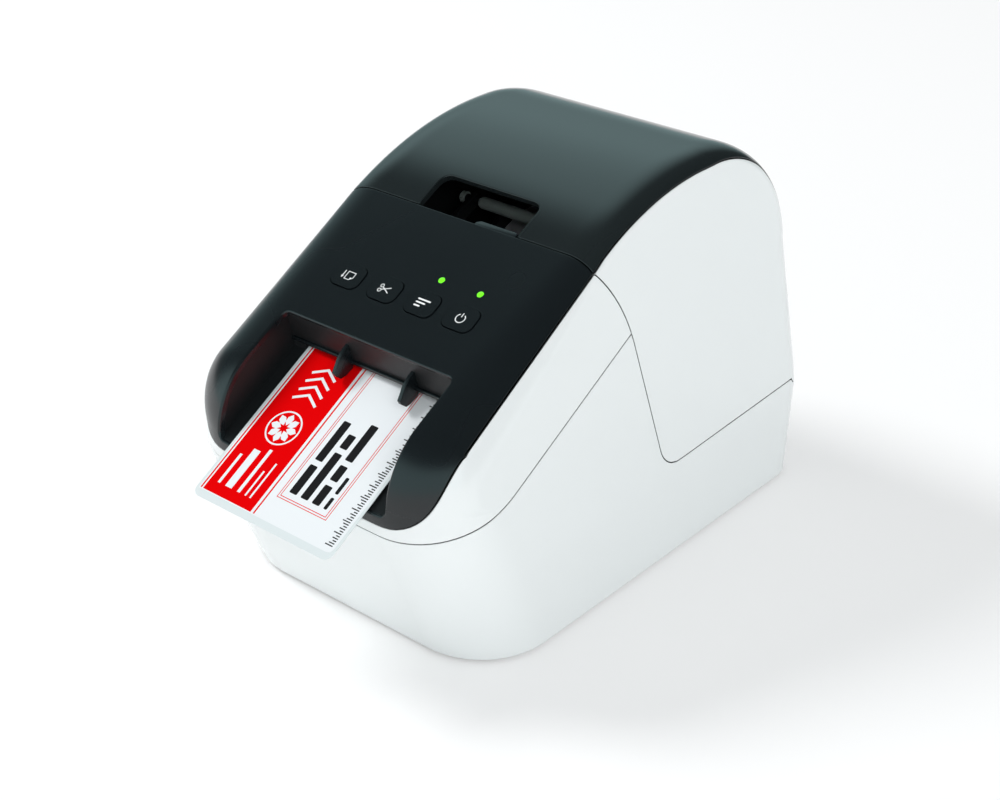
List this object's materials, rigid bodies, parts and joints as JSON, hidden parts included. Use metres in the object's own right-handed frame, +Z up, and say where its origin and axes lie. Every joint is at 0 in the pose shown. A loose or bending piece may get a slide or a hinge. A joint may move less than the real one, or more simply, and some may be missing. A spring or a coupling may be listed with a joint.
{
  "type": "label printer",
  "caption": "Desktop label printer with a hinged roll cover, sloping key panel, open label outlet and a printed label in it.",
  "frame": {"origin": "middle of the whole object's outline on the table, the printed label included", "axes": "+Z up, the label outlet faces -Y, +X to the right seen from the front"},
  "size_m": [0.1252, 0.222, 0.142],
  "materials": {
    "white_shell": "smooth moulded gloss",
    "black_cover": "polished dark smoke",
    "black_panel": "fine satin",
    "black_inner": "fine spark texture",
    "dark_pan": "fine texture",
    "rubber": "matt",
    "lens_green": "lit green",
    "grey_lever": "satin",
    "ivory_gear": "moulded acetal",
    "steel": "bright",
    "zinc_sheet": "zinc plated sheet",
    "brass": "turned",
    "blade": "ground",
    "head": "extruded",
    "board": "solder mask",
    "card": "wound card",
    "paper": "coated label stock",
    "socket_black": "moulded"
  },
  "bodies": {
    "base": {"base_housing": "white_shell", "base_pan": "dark_pan", "rubber_feet": "rubber", "case_screws": "steel", "front_bezel": "white_shell", "front_panel": "black_panel", "label_guides": "black_inner", "status_lenses": "lens_green", "button_board": "board", "hinge_brackets": "dark_pan", "hinge_pins": "steel", "side_frame_left": "zinc_sheet", "side_frame_right": "zinc_sheet", "roll_tub": "black_inner", "spool_guides": "black_inner", "spool_hub": "black_inner", "spool_cap": "black_inner", "paper_guide": "black_inner", "platen_bushes": "ivory_gear", "idler_stud": "steel", "feed_motor": "zinc_sheet", "head_pivot": "steel", "head_springs": "steel", "spring_beam": "zinc_sheet", "fixed_blade": "blade", "cutter_motor": "zinc_sheet", "cutter_frame": "zinc_sheet", "main_board": "board", "power_board": "board", "power_inlet": "socket_black", "usb_socket": "steel"},
    "cover": {"cover_shell": "black_cover", "cover_frame": "white_shell", "cover_hinge_arms": "white_shell"},
    "feed_key": {"button_feed": "black_panel"},
    "cut_key": {"button_cut": "black_panel"},
    "custom_key": {"button_custom": "black_panel"},
    "power_key": {"button_power": "black_panel"},
    "roll": {"roll_core": "card", "label_roll": "paper"},
    "lever": {"anti_curl_lever": "grey_lever"},
    "platen": {"platen_shaft": "steel", "platen_rubber": "rubber", "platen_gear": "ivory_gear"},
    "idler": {"idler_gear": "ivory_gear"},
    "motor_rotor": {"motor_pinion": "brass"},
    "head_unit": {"print_head": "head", "head_bracket": "zinc_sheet"},
    "knife": {"moving_blade": "blade"},
    "knife_drive": {"cutter_pinion": "ivory_gear"},
    "label_strip": {"printed_label": "paper"}
  },
  "joints": [
    {"name": "cover_hinge", "type": "hinge", "parent": "base", "child": "cover", "pos_m": [0, 0.1056, 0.044], "axis": [-1, 0, 0], "range_deg": [0, 80]},
    {"name": "feed_key_press", "type": "slide", "parent": "base", "child": "feed_key", "axis": [0, 0.4772, -0.8788], "range_m": [0, 0.0008], "stiffness_N_per_m": 400},
    {"name": "cut_key_press", "type": "slide", "parent": "base", "child": "cut_key", "axis": [0, 0.4772, -0.8788], "range_m": [0, 0.0008], "stiffness_N_per_m": 400},
    {"name": "custom_key_press", "type": "slide", "parent": "base", "child": "custom_key", "axis": [0, 0.4772, -0.8788], "range_m": [0, 0.0008], "stiffness_N_per_m": 400},
    {"name": "power_key_press", "type": "slide", "parent": "base", "child": "power_key", "axis": [0, 0.4772, -0.8788], "range_m": [0, 0.0008], "stiffness_N_per_m": 400},
    {"name": "roll_spin", "type": "hinge", "parent": "base", "child": "roll", "pos_m": [0, 0.059, 0.07], "axis": [1, 0, 0], "continuous": true},
    {"name": "lever_swing", "type": "hinge", "parent": "base", "child": "lever", "pos_m": [0, 0.014, 0.103], "axis": [1, 0, 0], "range_deg": [0, 25]},
    {"name": "platen_spin", "type": "hinge", "parent": "base", "child": "platen", "pos_m": [0, -0.01675, 0.10042], "axis": [1, 0, 0], "continuous": true},
    {"name": "idler_spin", "type": "hinge", "parent": "base", "child": "idler", "pos_m": [0, -0.01048, 0.0756], "axis": [1, 0, 0], "continuous": true},
    {"name": "motor_spin", "type": "hinge", "parent": "base", "child": "motor_rotor", "pos_m": [0, -0.023, 0.058], "axis": [1, 0, 0], "continuous": true},
    {"name": "head_lift", "type": "hinge", "parent": "base", "child": "head_unit", "pos_m": [0, -0.00961, 0.11816], "axis": [-1, 0, 0], "range_deg": [0, 4], "stiffness_Nm_per_rad": 2, "deforming": ["head_springs"]},
    {"name": "knife_slide", "type": "slide", "parent": "base", "child": "knife", "axis": [0, -0.5, 0.866], "range_m": [0, 0.0045]},
    {"name": "knife_drive_spin", "type": "hinge", "parent": "base", "child": "knife_drive", "pos_m": [0.0168, -0.03145, 0.07288], "axis": [0, 0.866, 0.5], "range_deg": [0, 60]},
    {"name": "label_pull", "type": "slide", "parent": "base", "child": "label_strip", "axis": [0, -0.866, -0.5], "range_m": [0, 0.03]}
  ],
  "couplings": [
    {"joint": "idler_spin", "follows": "platen_spin", "ratio": -0.6},
    {"joint": "motor_spin", "follows": "platen_spin", "ratio": 1.7143},
    {"joint": "knife_drive_spin", "follows": "knife_slide", "rad_per_m": 208.33}
  ]
}
